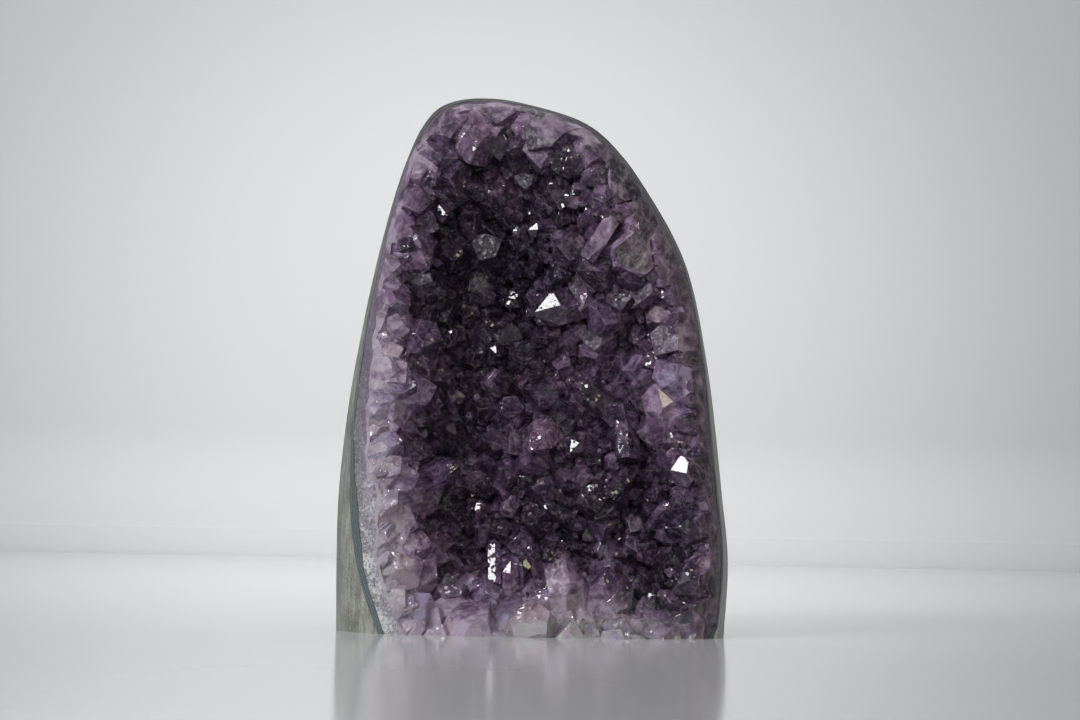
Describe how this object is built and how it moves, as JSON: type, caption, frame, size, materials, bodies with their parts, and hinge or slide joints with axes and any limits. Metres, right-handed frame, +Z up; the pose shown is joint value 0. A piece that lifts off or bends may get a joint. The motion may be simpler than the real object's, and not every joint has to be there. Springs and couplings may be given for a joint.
{
  "type": "amethyst cluster",
  "caption": "Free-standing piece of amethyst geode: purple crystals in a shallow hollow, ground smooth round the rim, with quartz, agate and basalt bands and a sawn flat foot.",
  "frame": {"origin": "middle of the sawn foot's outline box, on the surface that the piece stands on", "axes": "+Z up from the foot to the top, +Y from the crystal face to the rough back, +X to the right of a viewer who faces the crystals"},
  "size_m": [0.0916, 0.0571, 0.1249],
  "materials": {
    "basalt": "grey-green, ground smooth at the sides with fine upright scratches, rough behind",
    "agate": "dark blue-grey, fine bands, polished",
    "milky_quartz": "whitish, grainy, sparkling, polished",
    "amethyst": "glossy natural crystal faces, pale violet at the rim to deep purple in the hollow"
  },
  "bodies": {
    "root": {"basalt_rind": "basalt", "agate_band": "agate", "quartz_band": "milky_quartz", "amethyst_crust": "amethyst"}
  },
  "joints": []
}
